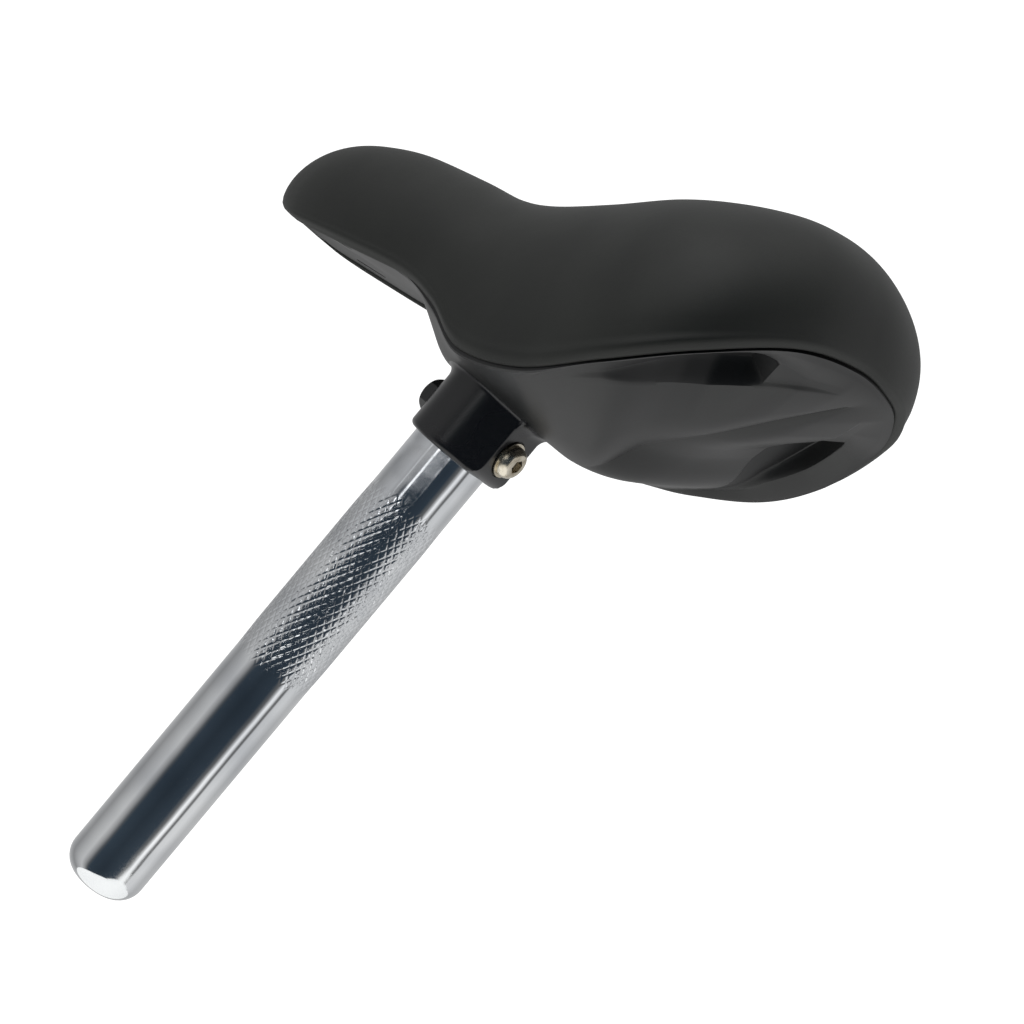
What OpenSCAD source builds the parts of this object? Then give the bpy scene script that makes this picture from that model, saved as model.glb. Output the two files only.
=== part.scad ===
// Kids bike saddle: a moulded foam cover on a one-piece plastic base whose socket is
// cross-bolted to a chromed steel seat post.
// Row frame: origin on the post's axis, in the middle of its lower plain stretch.
// +X points to the saddle's nose, +Y to the rider's left and +Z up, in riding attitude.

/* [Saddle] */
// Length of the saddle from the nose to the tail
saddle_len = 217; // [200:1:235]
// Greatest width over the cover
saddle_w = 144; // [132:1:156]
// Height of the cover's crown above the collar's mouth
crown_h = 95; // [91:0.5:100]
// How far the cover's flank bulges past the seam
flank_bulge = 3.5; // [1:0.5:5]
// How square the cover's cross-section is, from round to boxy
fullness = 2.3; // [2:0.1:2.8]

/* [Base] */
// Wall of the moulded base
base_wall = 3.2; // [2.4:0.2:4]
// Height of the base's rim below the seam
rim_h = 1.6; // [1.2:0.2:3]
// Depth of the hollow under each side of the tail
hollow_depth = 9; // [4:1:11]

/* [Collar] */
// Outside diameter of the collar that grips the post
collar_d = 31; // [30:0.5:34]
// Depth of the post's socket above the collar's mouth
socket_depth = 31; // [28:1:34]
// Width of the flat boss behind the collar
boss_w = 17; // [15:0.5:20]
// Distance from the post's axis to the boss's rear face
boss_reach = 16.2; // [15.8:0.2:17.4]
// Rounding of the collar's lower edge
collar_round = 2.5; // [1:0.5:2.5]

/* [Seat post] */
// Outside diameter of the post
post_d = 25.4; // [25.4:0.2:27.2]
// Wall of the post's tube
post_wall = 1.6; // [1.2:0.2:2.4]
// Length of the post that shows below the collar
post_showing = 168; // [150:2:190]
// Length of the knurled band
knurl_len = 66; // [50:2:70]
// Plain stretch between the collar's mouth and the knurled band
knurl_gap = 18; // [12:1:24]
// How far the knurl's crests stand proud of the tube
knurl_rise = 0.2; // [0.18:0.02:0.3]
// Rounding of the post's spun-in lower end
end_round = 7.5; // [5:0.5:9]
// Backward lean of the post from upright, in degrees
post_lean = 20; // [16:1:24]

/* [Fasteners] */
// Thread diameter of the cross bolt
bolt_d = 6; // [6:0.5:7]
// Height of the cross bolt above the collar's mouth
bolt_up = 10.3; // [9:0.5:13]
// Diameter of the bolt's button head
head_d = 10.5; // [10.5:0.5:11.5]
// Height of the bolt's button head
head_h = 3.3; // [2.8:0.1:3.6]
// Hex socket's width across flats
key_af = 4; // [3:0.5:5]
// Outside diameter of the washer
washer_d = 12; // [12:0.5:13]
// Thickness of the washer
washer_t = 1.2; // [1:0.1:1.6]
// Nut's width across flats
nut_af = 10; // [10:0.5:11]
// Height of the nut
nut_h = 4.6; // [4:0.2:5.2]

/* [Clearances] */
// Gap all round between the post and its socket
socket_gap = 0.15; // [0.1:0.05:0.3]
// Gap all round between the bolt and its holes
bolt_gap = 0.3; // [0.2:0.05:0.4]
// Gap all round between the bolt's crests and the nut
thread_gap = 0.05; // [0.05:0.05:0.1]
// Gap between the socket's cap and the foam
foam_gap = 0.3; // [0.2:0.1:0.5]

/* [Hidden] */
$fn = 96;

post_r = post_d / 2;
collar_r = collar_d / 2;
// The origin sits halfway along the plain stretch below the knurl
plain_len = post_showing - knurl_gap - knurl_len - end_round;
origin_to_mouth = knurl_gap + knurl_len + plain_len / 2;
seat_rear = boss_reach - 0.6;
seat_front = collar_r - 1.3;
collar_up = 24;
boss_low = 1;
boss_round = 5;
slot_x = 52;
slot_len = 12;
slot_w = 5;
slot_roof = 47.6;
cap_top = socket_depth + 2.5;

// Design saddle that the station heights below were drawn for
design_len = 217;
design_half_w = 69;
design_crown = 95;
stretch_x = saddle_len / design_len;
stretch_y = (saddle_w / 2 - flank_bulge) / design_half_w;
stretch_z = crown_h / design_crown;

// Stations round the left half of the seam, from the nose tip to the tail, with the origin
// at the collar's mouth. Each holds the seam's x, y and z, then the ridge's x and z above
// it, then the keel's x and z below it.
STATIONS = [
    [89, 0, 57, 60, 86.5, 80, 53],
    [76, 13.5, 53, 53, 86.8, 69, 50],
    [50, 24.5, 47.5, 41, 86.2, 47, 45.5],
    [20, 32.5, 41.5, 20, 82.3, 24, 39.5],
    [3, 38, 34, 4, 79, 11, 28],
    [-14, 44.5, 22.7, -8, 79.5, -8, 20],
    [-40, 55.5, 20.2, -25, 83.5, -27, 13],
    [-68, 67, 26, -43, 88.3, -44, 9.5],
    [-90, 63, 36, -57, 91.3, -58, 21],
    [-108.5, 45, 48, -67, 93.6, -77, 30],
    [-117.5, 22, 53, -74, 94.5, -93, 39],
    [-120, 0, 53.5, -77, 94.7, -109, 47.5]
];
LAST = len(STATIONS) - 1;
STEPS_PER_STATION = 5;
ROWS = LAST * STEPS_PER_STATION;
// Columns from the seam to the ridge, and from the rim to the keel
ARCH_COLS = 10;
SHEET_COLS = 16;

// Station at a whole index, mirrored past the nose and the tail
function station(i) =
    i < 0 ? flipped(STATIONS[-i]) :
    i > LAST ? flipped(STATIONS[2 * LAST - i]) :
    STATIONS[i];
function flipped(s) = [s[0], -s[1], s[2], s[3], s[4], s[5], s[6]];

// Smooth curve through four neighbours
function blend(a, b, c, d, t) =
    0.5 * (2 * b + (c - a) * t + (2 * a - 5 * b + 4 * c - d) * t * t
    + (3 * b - a - 3 * c + d) * t * t * t);
function station_at(u) =
    let (i = min(floor(u), LAST - 1), t = u - i)
    blend(station(i - 1), station(i), station(i + 1), station(i + 2), t);

function seam_point(s) = [s[0] * stretch_x, s[1] * stretch_y, s[2]];
function ridge_point(s) = [s[3] * stretch_x, 0, s[4] * stretch_z];
function keel_point(s) = [s[5] * stretch_x, 0, s[6]];
function mix(a, b, f) = a + (b - a) * f;
function ease(f) =
    let (g = max(0, min(1, f)))
    g * g * (3 - 2 * g);

// Point on the cover's arch, a from 0 degrees at the seam to 90 at the ridge
function arch_point(s, a) =
    let (seam = seam_point(s), ridge = ridge_point(s))
    let (out = pow(max(cos(a), 0), 2 / fullness), up = pow(sin(a), 2 / fullness))
    let (flat = mix(ridge, seam, out), side = seam - ridge)
    let (reach = max(norm([side[0], side[1]]), 1))
    let (bulge = 2.6 * flank_bulge * sqrt(up) * (1 - up) / reach)
    [flat[0] + side[0] * bulge, flat[1] + side[1] * bulge, mix(seam[2], ridge[2], up)];

// Hollow beside the tail at places round the seam: its outer and inner edge as shares of the
// way from rim to keel, then the rise of the belly's edge, the flange and the hollow's roof
HOLLOW = [
    [6.0, [0.05, 0.10, 0, 0, 0]],
    [6.6, [0.05, 0.12, 1, 1, 0]],
    [7.0, [0.08, 0.20, 4, 4, 0.1]],
    [7.4, [0.14, 0.29, 5, 5, 0.45]],
    [8.0, [0.17, 0.42, 6, 6, 1]],
    [8.4, [0.22, 0.51, 6, 6, 1]],
    [8.75, [0.33, 0.42, 4, 5, 0.65]],
    [8.9, [0.35, 0.39, 3, 4, 0]],
    [9.4, [0.30, 0.34, 1.2, 2.5, 0]],
    [10.2, [0.2, 0.3, 0, 0, 0]]
];
outer_wall = 0.04;
inner_wall = 0.03;
function hollow_at(u) = [for (k = [0:4]) lookup(u, [for (row = HOLLOW) [row[0], row[1][k]]])];

// Rise of the underside over a plain belly, at place u round the seam and w from rim to keel
function hollow_rise(u, w) =
    let (h = hollow_at(u))
    let (bulge = h[2] * pow(max(0, min(1, (1 - w) / (1 - h[1]))), 1.6))
    let (recess = h[3] * min(1, w / h[0]) + hollow_depth * h[4] * ease((w - h[0]) / outer_wall))
    mix(bulge, recess, ease((h[1] + 0.01 - w) / inner_wall));

// Columns from rim to keel follow the hollow's edges
function sheet_place(u, j) =
    let (h = hollow_at(u), wall = min(outer_wall, (h[1] - h[0]) / 2))
    lookup(j, [
        [0, 0],
        [3, h[0]],
        [5, h[0] + wall],
        [7, max(h[1] - inner_wall, h[0] + wall)],
        [9, h[1] + 0.01],
        [SHEET_COLS, 1]]);

// Point on the base's underside, w from 0 at the rim to 1 at the keel
function under_point(s, u, w) =
    let (seam = seam_point(s), keel = keel_point(s))
    let (rim = [seam[0] * 0.99, seam[1] * 0.98, seam[2] - rim_h * mix(0.3, 1, ease((u - 1) / 3))])
    let (flat = mix(rim, keel, w))
    [flat[0], flat[1], mix(rim[2], keel[2], pow(w, 0.8)) + hollow_rise(u, w)];

// Point on the face where the foam meets the base, w from 0 at the seam to 1 at the middle
function parting_point(s, u, w) =
    w == 0 ? seam_point(s) : under_point(s, u, w) + [0, 0, base_wall];

function mirrored(p) = [p[0], -p[1], p[2]];
function there_and_back(half) =
    let (n = len(half) - 1)
    concat(half, [for (j = [1:n]) mirrored(half[n - j])]);
// The ring runs over from the left seam to the right one, then back beneath it
function ring(over, under) =
    let (n = len(under) - 1)
    concat(there_and_back(over),
        [for (j = [1:n]) mirrored(under[j])],
        [for (j = [1:n - 1]) under[n - j]]);

function arch_half(s) = [for (j = [0:ARCH_COLS]) arch_point(s, 90 * j / ARCH_COLS)];
function parting_half(s, u) = [for (j = [0:SHEET_COLS]) parting_point(s, u, sheet_place(u, j))];
function under_half(s, u) =
    concat([seam_point(s)],
        [for (j = [0:SHEET_COLS]) under_point(s, u, sheet_place(u, j))]);

// Solid through rings that are symmetric about y = 0, closed by folding the end rings flat.
// Upper and lower faces are split along the same diagonals, so stacked solids meet exactly.
module folded_loft(rings, over_cols) {
    rows = len(rings) - 1;
    count = len(rings[0]);
    function folded(j) =
        j <= over_cols ? j :
        j <= 2 * over_cols ? 2 * over_cols - j :
        j < over_cols + count / 2 ? 2 * over_cols - j + count :
        j;
    function place(i, j) =
        let (k = j % count)
        i * count + (i == 0 || i == rows ? folded(k) : k);
    polyhedron(
        points = [for (r = rings) each r],
        faces = [for (i = [0:rows - 1], j = [0:count - 1]) each
            j < 2 * over_cols ? [
                [place(i, j), place(i, j + 1), place(i + 1, j + 1)],
                [place(i, j), place(i + 1, j + 1), place(i + 1, j)]
            ] : [
                [place(i, j), place(i, j + 1), place(i + 1, j)],
                [place(i, j + 1), place(i + 1, j + 1), place(i + 1, j)]
            ]],
        convexity = 8);
}

// Frame of the post: z up along its axis from the collar's mouth, x to the front
module on_post() {
    rotate([0, -post_lean, 0]) translate([0, 0, origin_to_mouth]) children();
}

// Frame of the saddle: level, with its origin at the collar's mouth
module on_saddle() {
    translate([-sin(post_lean) * origin_to_mouth, 0, cos(post_lean) * origin_to_mouth])
        children();
}

// Frame of the cross bolt: z to the rear along its axis, from the post's axis
module on_bolt() {
    on_post() translate([0, 0, bolt_up]) rotate([0, -90, 0]) children();
}

module hex_bar(af, h) {
    cylinder(d = af / cos(30), h = h, $fn = 6);
}

module cover_body() {
    folded_loft([for (i = [0:ROWS])
        let (u = i / STEPS_PER_STATION, s = station_at(u))
        ring(arch_half(s), parting_half(s, u))], ARCH_COLS);
}

module base_body() {
    folded_loft([for (i = [0:ROWS])
        let (u = i / STEPS_PER_STATION, s = station_at(u))
        ring(parting_half(s, u), under_half(s, u))], SHEET_COLS);
}

module collar_outside(grow) {
    rotate_extrude() polygon(concat(
        [[0, 0]],
        [for (a = [-90:15:0]) [
            collar_r + grow - collar_round + collar_round * cos(a),
            collar_round + collar_round * sin(a)]],
        [[collar_r + grow, cap_top + grow], [0, cap_top + grow]]));
}

// Boss behind the collar, seen from its side, with a rounded lower rear edge
module boss_profile(grow) {
    reach = boss_reach + grow;
    polygon(concat(
        [[0, boss_low]],
        [for (a = [90:15:180]) [
            boss_round - reach + boss_round * cos(a),
            boss_low + boss_round - boss_round * sin(a)]],
        [[-reach, boss_low + collar_up + grow], [0, boss_low + collar_up + grow]]));
}

// Its flat sides run from the collar's round front, where they are tangent, to its rear face
module boss(grow) {
    reach = boss_reach + grow;
    half = boss_w / 2 + grow;
    r = collar_r + grow;
    touch = atan2(half, -reach) - acos(r / norm([reach, half]));
    intersection() {
        translate([0, r, 0]) rotate([90, 0, 0]) linear_extrude(2 * r) boss_profile(grow);
        linear_extrude(collar_up + 10) polygon([
            [0, 0],
            [r * cos(touch), r * sin(touch)],
            [-reach, half],
            [-reach, -half],
            [r * cos(touch), -r * sin(touch)]]);
    }
}

// Blind slot under the nose, where the mould's core was held
module nose_slot() {
    hull() for (x = [-slot_len / 2, slot_len / 2]) {
        translate([slot_x + x, 0, slot_roof - 8]) cylinder(d = slot_w, h = 8, $fn = 32);
    }
}

module saddle_cover() {
    color("#2e302e") difference() {
        on_saddle() cover_body();
        on_post() collar_outside(foam_gap);
        on_post() boss(foam_gap);
    }
}

module base_shell() {
    color("#3c3e40") difference() {
        union() {
            on_saddle() base_body();
            on_post() collar_outside(0);
            on_post() boss(0);
        }
        on_post() translate([0, 0, -1]) cylinder(r = post_r + socket_gap, h = socket_depth + 1);
        on_bolt() translate([0, 0, -30]) cylinder(r = bolt_d / 2 + bolt_gap, h = 60);
        on_bolt() translate([0, 0, seat_rear]) cylinder(d = washer_d + 1, h = 6);
        on_bolt() translate([0, 0, -seat_front - 8]) cylinder(d = nut_af / cos(30) + 1, h = 8);
        on_saddle() nose_slot();
    }
}

module seat_post() {
    top = socket_depth - 1;
    low = -post_showing;
    inner_r = post_r - post_wall;
    inner_round = end_round - post_wall;
    color("#c8ccd0") on_post() difference() {
        rotate_extrude() polygon(concat(
            [for (a = [-90:9:0]) [
                post_r - end_round + end_round * cos(a),
                low + end_round + end_round * sin(a)]],
            [[post_r, -knurl_gap - knurl_len],
            [post_r + knurl_rise, -knurl_gap - knurl_len + knurl_rise],
            [post_r + knurl_rise, -knurl_gap - knurl_rise],
            [post_r, -knurl_gap],
            [post_r, top],
            [inner_r, top]],
            [for (a = [0:-9:-90]) [
                inner_r - inner_round + inner_round * cos(a),
                low + end_round + inner_round * sin(a)]]));
        translate([30, 0, bolt_up]) rotate([0, -90, 0])
            cylinder(r = bolt_d / 2 + bolt_gap, h = 60);
    }
}

module clamp_bolt() {
    under_head = seat_rear + washer_t;
    shank = under_head + seat_front + nut_h + 1.5;
    crown_flat = key_af / 2 + 1.2;
    color("#b9b4a8") on_bolt() difference() {
        union() {
            translate([0, 0, under_head - shank]) cylinder(r1 = bolt_d / 2 - 0.6, r2 = bolt_d / 2, h = 0.6);
            translate([0, 0, under_head - shank + 0.6]) cylinder(r = bolt_d / 2, h = shank);
            translate([0, 0, under_head]) rotate_extrude() polygon(concat(
                [[0, 0], [head_d / 2, 0]],
                [for (a = [0:10:90]) [
                    crown_flat + (head_d / 2 - crown_flat) * cos(a),
                    0.5 + (head_h - 0.5) * sin(a)]],
                [[0, head_h]]));
        }
        translate([0, 0, under_head + head_h - 2.2]) hex_bar(key_af, 3);
    }
}

module bolt_washer() {
    color("#c0beb8") on_bolt() translate([0, 0, seat_rear]) difference() {
        cylinder(d = washer_d, h = washer_t);
        translate([0, 0, -1]) cylinder(r = bolt_d / 2 + bolt_gap, h = washer_t + 2);
    }
}

module clamp_nut() {
    color("#26282a") on_bolt() translate([0, 0, -seat_front - nut_h]) difference() {
        intersection() {
            hex_bar(nut_af, nut_h);
            translate([0, 0, -3.9]) cylinder(r1 = 0.5, r2 = nut_af, h = nut_h + 3.9);
            cylinder(d = nut_af / cos(30) - 0.2, h = nut_h);
        }
        translate([0, 0, -1]) cylinder(r = bolt_d / 2 + thread_gap, h = nut_h + 2);
    }
}

saddle_cover();
base_shell();
seat_post();
clamp_bolt();
bolt_washer();
clamp_nut();
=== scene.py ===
"""Kids bike saddle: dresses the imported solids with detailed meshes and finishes.

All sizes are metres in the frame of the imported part: the origin is on the seat post's axis,
+X points to the saddle's nose, +Y to the rider's left and +Z up.
"""

import logging
import math
from dataclasses import dataclass
from enum import Enum
from typing import Callable, Iterable, Sequence

import bmesh
import bpy
import numpy as np
from mathutils import Matrix, Vector
from mathutils.bvhtree import BVHTree


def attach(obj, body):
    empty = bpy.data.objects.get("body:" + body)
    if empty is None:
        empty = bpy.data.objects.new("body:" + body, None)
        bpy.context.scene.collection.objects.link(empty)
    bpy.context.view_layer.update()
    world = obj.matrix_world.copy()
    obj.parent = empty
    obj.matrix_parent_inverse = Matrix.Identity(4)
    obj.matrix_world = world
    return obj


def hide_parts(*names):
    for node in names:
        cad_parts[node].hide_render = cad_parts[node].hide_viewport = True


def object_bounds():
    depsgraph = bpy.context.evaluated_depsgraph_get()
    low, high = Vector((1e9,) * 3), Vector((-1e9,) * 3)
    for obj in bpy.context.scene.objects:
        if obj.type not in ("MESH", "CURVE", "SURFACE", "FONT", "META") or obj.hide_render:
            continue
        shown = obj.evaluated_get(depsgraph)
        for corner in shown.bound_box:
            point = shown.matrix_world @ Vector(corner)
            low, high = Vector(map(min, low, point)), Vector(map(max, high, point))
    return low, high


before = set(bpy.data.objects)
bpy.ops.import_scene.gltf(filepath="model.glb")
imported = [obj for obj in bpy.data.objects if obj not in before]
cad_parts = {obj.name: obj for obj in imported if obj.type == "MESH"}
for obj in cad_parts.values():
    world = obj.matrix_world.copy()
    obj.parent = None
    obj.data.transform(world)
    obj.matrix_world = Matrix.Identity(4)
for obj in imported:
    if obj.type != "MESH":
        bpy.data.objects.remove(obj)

CAD_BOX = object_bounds()
MM = 0.001
ROOT = "root"

log = logging.getLogger("kids_bike_saddle")

Colour = tuple[float, float, float, float]
Counts = tuple[int, int, int, int, int]
Hollow = tuple[float, float, float, float, float, float]
Inputs = dict[str | int, object]
Point = tuple[float, float, float]
Ramp = tuple[tuple[float, float], ...]
Station = tuple[float, float, float, float, float, float, float]


# Colour and shader nodes


class Shade(Enum):
    """sRGB colours of the real materials."""

    FOAM_SKIN = "#111411"
    FOAM_WORN = "#171a16"
    PLASTIC = "#191a1b"
    PLASTIC_DARK = "#131415"
    COLLAR = "#16171b"
    COLLAR_DARK = "#101115"
    CHROME = "#e4e6e8"
    CHROME_SHADE = "#c9ccd0"
    NICKEL = "#d6cfc0"
    NICKEL_DEEP = "#a89f8c"
    BLACK_OXIDE = "#1b1c1e"
    FLOOR = "#f4f4f2"


def linear(shade: Shade) -> Colour:
    """Turns a shade's sRGB hex into a linear colour.

    Args:
        shade: The named colour.

    Returns:
        Linear red, green, blue and an alpha of 1.
    """
    code = shade.value.lstrip("#")
    parts = [int(code[i : i + 2], 16) / 255 for i in (0, 2, 4)]
    red, green, blue = (p / 12.92 if p <= 0.04045 else ((p + 0.055) / 1.055) ** 2.4 for p in parts)
    return red, green, blue, 1.0


def feed(tree: bpy.types.NodeTree, node: bpy.types.Node, inputs: Inputs) -> None:
    """Sets a node's inputs or links them.

    Args:
        tree: The node tree.
        node: The node that is fed.
        inputs: Input name or index to a value, an output socket or a node whose first output is meant.
    """
    for name, value in inputs.items():
        if isinstance(value, bpy.types.Node):
            value = value.outputs[0]
        if isinstance(value, bpy.types.NodeSocket):
            tree.links.new(value, node.inputs[name])
        else:
            node.inputs[name].default_value = value


def add_node(
    tree: bpy.types.NodeTree, kind: str, inputs: Inputs | None = None, **settings: object
) -> bpy.types.Node:
    """Adds one shader node with its settings and the links into it.

    Args:
        tree: The node tree to add to.
        kind: The node's type name without its ShaderNode prefix.
        inputs: What feed takes.
        **settings: Attributes of the node itself.

    Returns:
        The new node.
    """
    node = tree.nodes.new(f"ShaderNode{kind}")
    for name, value in settings.items():
        setattr(node, name, value)
    feed(tree, node, inputs or {})
    return node


def set_ramp(node: bpy.types.Node, stops: Sequence[tuple[float, Colour]]) -> None:
    """Gives a colour ramp its stops.

    Args:
        node: The ramp's node.
        stops: Positions and linear colours in rising order.
    """
    ramp = node.color_ramp.elements
    while len(ramp) < len(stops):
        ramp.new(1.0)
    for element, (place, colour) in zip(ramp, stops):
        element.position = place
        element.color = colour


def new_material(
    name: str,
) -> tuple[bpy.types.Material, bpy.types.NodeTree, bpy.types.Node, bpy.types.NodeSocket]:
    """Starts a material with a principled shader.

    Args:
        name: The material's name.

    Returns:
        The material, its tree, its principled shader and its object coordinates.
    """
    material = bpy.data.materials.new(name)
    material.use_nodes = True
    tree = material.node_tree
    tree.nodes.clear()
    shader = add_node(tree, "BsdfPrincipled")
    add_node(tree, "OutputMaterial", {"Surface": shader})
    return material, tree, shader, add_node(tree, "TexCoord").outputs["Object"]


# Frames of the part


@dataclass(frozen=True)
class PostFrame:
    """Frame of the leaning post: z up along its axis from the collar's mouth, x to the front."""

    lean: float = math.radians(20)
    origin_to_mouth: float = 122.25 * MM

    def matrix(self) -> Matrix:
        """Matrix from the post's frame to the part's frame."""
        return Matrix.Rotation(-self.lean, 4, "Y") @ Matrix.Translation((0, 0, self.origin_to_mouth))

    def mouth(self) -> Vector:
        """The collar mouth's centre in the part's frame."""
        return self.matrix() @ Vector((0, 0, 0))

    def bolt_matrix(self, bolt_up: float) -> Matrix:
        """Matrix from the cross bolt's frame, z to the rear, to the part's frame.

        Args:
            bolt_up: Height of the bolt above the collar's mouth.

        Returns:
            The matrix.
        """
        return self.matrix() @ Matrix.Translation((0, 0, bolt_up)) @ Matrix.Rotation(-math.pi / 2, 4, "Y")


# Finishes


@dataclass(frozen=True)
class SkinnedFoam:
    """Self-skinning polyurethane foam from a grained mould: a soft matte charcoal skin."""

    grain: float = 0.45 * MM
    pores: float = 0.99 * MM
    mottle: float = 28 * MM
    roughness: float = 0.62
    ior: float = 1.48

    def build(self) -> bpy.types.Material:
        """Makes the material.

        Returns:
            The material.
        """
        material, tree, shader, place = new_material("self_skinned_foam")
        # The mould's fine grain breaks the highlight into a dull, even sheen
        grain = add_node(tree, "TexVoronoi", {"Vector": place, "Scale": 1 / self.grain}, feature="SMOOTH_F1")
        pores = add_node(tree, "TexNoise", {"Vector": place, "Scale": 1 / self.pores, "Detail": 3.0})
        mixed = add_node(tree, "Math", {0: grain, 1: pores}, operation="MULTIPLY")
        bump = add_node(tree, "Bump", {"Height": mixed, "Strength": 0.22, "Distance": 0.12 * MM})
        # Handling leaves wide, faint patches that are a little paler and smoother
        patches = add_node(tree, "TexNoise", {"Vector": place, "Scale": 1 / self.mottle, "Detail": 4.0})
        tint = add_node(tree, "ValToRGB", {"Fac": patches})
        set_ramp(tint, [(0.35, linear(Shade.FOAM_SKIN)), (0.75, linear(Shade.FOAM_WORN))])
        dull, smooth = self.roughness + 0.06, self.roughness - 0.06
        rough = add_node(tree, "MapRange", {"Value": patches, "To Min": dull, "To Max": smooth})
        feed(tree, shader, {"Base Color": tint, "Roughness": rough, "Normal": bump})
        shader.inputs["IOR"].default_value = self.ior
        shader.inputs["Sheen Weight"].default_value = 0.04
        shader.inputs["Sheen Roughness"].default_value = 0.5
        return material


@dataclass(frozen=True)
class MouldedPolypropylene:
    """Injection-moulded black polypropylene, satin where the mould was spark-eroded."""

    name: str = "moulded_polypropylene"
    light: Shade = Shade.PLASTIC
    dark: Shade = Shade.PLASTIC_DARK
    spark: float = 0.18 * MM
    flow: float = 40 * MM
    roughness: float = 0.42
    ior: float = 1.44

    def build(self) -> bpy.types.Material:
        """Makes the material.

        Returns:
            The material.
        """
        material, tree, shader, place = new_material(self.name)
        # Spark erosion's even texture softens reflections, and is drawn coarser than its real 0.05 mm
        spark = add_node(tree, "TexNoise", {"Vector": place, "Scale": 1 / self.spark, "Detail": 2.0})
        sink = add_node(tree, "TexNoise", {"Vector": place, "Scale": 1 / self.flow, "Detail": 2.0})
        fine = add_node(tree, "Bump", {"Height": spark, "Strength": 0.12, "Distance": 0.05 * MM})
        # Slow shrinkage makes wide faces a trace uneven, so long highlights waver
        wide = add_node(tree, "Bump", {"Height": sink, "Strength": 0.3, "Distance": 0.6 * MM, "Normal": fine})
        tint = add_node(tree, "ValToRGB", {"Fac": sink})
        set_ramp(tint, [(0.3, linear(self.dark)), (0.7, linear(self.light))])
        smooth, dull = self.roughness - 0.05, self.roughness + 0.08
        rough = add_node(tree, "MapRange", {"Value": sink, "To Min": smooth, "To Max": dull})
        feed(tree, shader, {"Base Color": tint, "Roughness": rough, "Normal": wide})
        shader.inputs["IOR"].default_value = self.ior
        return material


@dataclass(frozen=True)
class ChromePlate:
    """Bright chrome plate over a polished steel tube: mirror-like with faint waviness."""

    post: PostFrame = PostFrame()
    ripple: float = 22 * MM
    pits: float = 0.5 * MM
    roughness: float = 0.07
    radius: float = 12.7 * MM
    helix: float = math.radians(30)
    scratch_width: float = 0.42 * MM
    scratch_length: float = 3.2 * MM
    scratch_depth: float = 0.014 * MM
    band: tuple[float, float] = (-84 * MM, -18 * MM)
    band_fade: float = 5 * MM

    def scratches(self, tree: bpy.types.NodeTree, place: bpy.types.NodeSocket) -> bpy.types.Node:
        """Fine crossed scratches in the knurled band, left as the roller skidded.

        Args:
            tree: The material's tree.
            place: Object coordinates.

        Returns:
            A node that gives their height from 0 to 1.
        """
        drop, lean = (0.0, 0.0, -self.post.origin_to_mouth), (0.0, self.post.lean, 0.0)
        turned = add_node(tree, "Mapping", {"Vector": place, "Location": drop, "Rotation": lean})
        split = add_node(tree, "SeparateXYZ", {"Vector": turned}).outputs
        angle = add_node(tree, "Math", {0: split["Y"], 1: split["X"]}, operation="ARCTAN2")
        arc = add_node(tree, "Math", {0: angle, 1: self.radius}, operation="MULTIPLY")
        lines = []
        for side in (-1, 1):
            slope = side * math.tan(self.helix)
            across = add_node(tree, "Math", {0: split["Z"], 1: slope, 2: arc}, operation="MULTIPLY_ADD")
            wide = add_node(tree, "Math", {0: across, 1: self.scratch_width}, operation="DIVIDE")
            long = add_node(tree, "Math", {0: split["Z"], 1: self.scratch_length}, operation="DIVIDE")
            grid = add_node(tree, "CombineXYZ", {"X": wide, "Y": long, "Z": 7.0 * side})
            noise = add_node(tree, "TexNoise", {"Vector": grid, "Scale": 1.0, "Detail": 1.0})
            lines.append(add_node(tree, "MapRange", {"Value": noise, "From Min": 0.52, "From Max": 0.68}))
        crossed = add_node(tree, "Math", {0: lines[0], 1: lines[1]}, operation="MAXIMUM")
        low, high = self.band
        half = (high - low) / 2
        off = add_node(tree, "Math", {0: split["Z"], 1: -(low + high) / 2}, operation="ADD")
        far = add_node(tree, "Math", {0: off}, operation="ABSOLUTE")
        zone = add_node(tree, "MapRange", {"Value": far, "From Min": half, "From Max": half - self.band_fade})
        return add_node(tree, "Math", {0: crossed, 1: zone}, operation="MULTIPLY")

    def build(self) -> bpy.types.Material:
        """Makes the material.

        Returns:
            The material.
        """
        material, tree, shader, place = new_material("chrome_plate")
        # Belt polishing before plating leaves slow ripples that bend the long reflections
        ripple = add_node(tree, "TexNoise", {"Vector": place, "Scale": 1 / self.ripple, "Detail": 2.0})
        # Pits are drawn coarser than they are, and just dull the mirror here and there
        pits = add_node(tree, "TexNoise", {"Vector": place, "Scale": 1 / self.pits, "Detail": 4.0})
        fine = add_node(tree, "Bump", {"Height": pits, "Strength": 0.05, "Distance": 0.03 * MM})
        waves = {"Height": ripple, "Distance": 0.5 * MM}
        wide = add_node(tree, "Bump", {**waves, "Strength": 0.35, "Normal": fine})
        # The band sparkles because each scratch throws light from another side
        marks = {"Height": self.scratches(tree, place), "Distance": self.scratch_depth}
        knurled = add_node(tree, "Bump", {**marks, "Strength": 1.0, "Normal": wide})
        tint = add_node(tree, "ValToRGB", {"Fac": ripple})
        set_ramp(tint, [(0.3, linear(Shade.CHROME_SHADE)), (0.7, linear(Shade.CHROME))])
        smooth, dull = self.roughness - 0.02, self.roughness + 0.04
        rough = add_node(tree, "MapRange", {"Value": pits, "To Min": smooth, "To Max": dull})
        feed(tree, shader, {"Base Color": tint, "Roughness": rough, "Normal": knurled})
        shader.inputs["Metallic"].default_value = 1.0
        return material


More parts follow.
